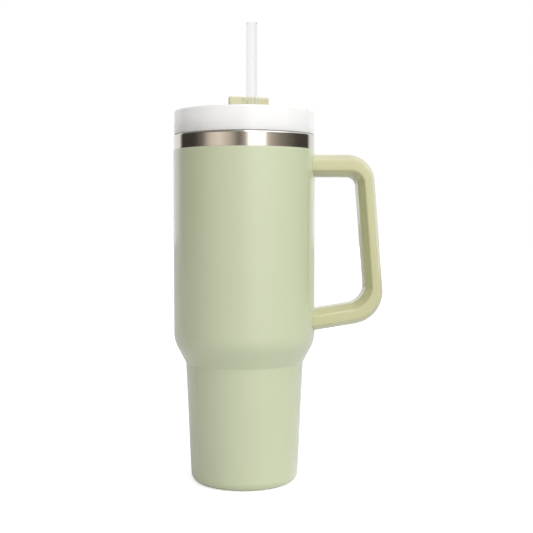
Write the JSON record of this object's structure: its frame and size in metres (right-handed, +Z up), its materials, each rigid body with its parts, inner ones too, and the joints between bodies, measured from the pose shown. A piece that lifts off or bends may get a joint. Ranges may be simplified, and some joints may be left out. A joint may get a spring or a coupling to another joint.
{
  "type": "insulated travel mug",
  "caption": "Tall double-walled steel travel mug with a stepped foot, bevelled side handle, screw lid with a rotating cover and upstanding tab, and a clear straw.",
  "frame": {"origin": "centre of the base, on the surface the mug stands on", "axes": "+Z up along the vessel's axis, +X toward the handle, -Y toward the straw side of the lid"},
  "size_m": [0.1465, 0.099, 0.3179],
  "materials": {
    "shell_paint": "fine-grained satin powder coat",
    "neck_steel": "brushed round the axis",
    "plain_steel": "as rolled",
    "solder": "cast bead",
    "getter_alloy": "sintered",
    "handle_plastic": "smooth satin moulding",
    "lid_plastic": "polished, faintly translucent",
    "plug_plastic": "plain moulded",
    "silicone": "matt",
    "rotor_plastic": "smooth satin moulding",
    "straw_plastic": "clear, polished"
  },
  "bodies": {
    "vessel": {"outer_shell": "shell_paint", "liner": "neck_steel", "outer_bottom": "plain_steel", "vacuum_seal": "solder", "getter": "getter_alloy", "base_cover": "plain_steel", "handle_frame": "handle_plastic", "handle_cover": "handle_plastic", "upper_bracket": "plain_steel", "lower_bracket": "plain_steel", "upper_screw": "plain_steel", "lower_screw": "plain_steel", "upper_plug": "handle_plastic", "lower_plug": "handle_plastic"},
    "gasket": {"lid_gasket": "silicone"},
    "lid": {"lid_shell": "lid_plastic", "lid_plug": "plug_plastic", "hub_seal": "silicone"},
    "cover": {"rotor": "rotor_plastic", "rotor_clip": "plug_plastic", "drink_seal": "silicone", "straw_seal": "silicone"},
    "straw": {"straw": "straw_plastic"}
  },
  "joints": [
    {"name": "lid_lift", "type": "slide", "parent": "vessel", "child": "gasket", "axis": [0, 0, 1], "range_m": [0, 0.009]},
    {"name": "lid_turn", "type": "hinge", "parent": "gasket", "child": "lid", "pos_m": [0, 0, 0.2436], "axis": [0, 0, 1], "range_deg": [0, 540]},
    {"name": "cover_turn", "type": "hinge", "parent": "lid", "child": "cover", "pos_m": [0, 0, 0.2513], "axis": [0, 0, 1], "range_deg": [0, 60]},
    {"name": "straw_pull", "type": "slide", "parent": "cover", "child": "straw", "axis": [0, 0, 1], "range_m": [0, 0.25]}
  ],
  "couplings": [
    {"joint": "lid_lift", "follows": "lid_turn", "m_per_rad": 0.00095493}
  ]
}
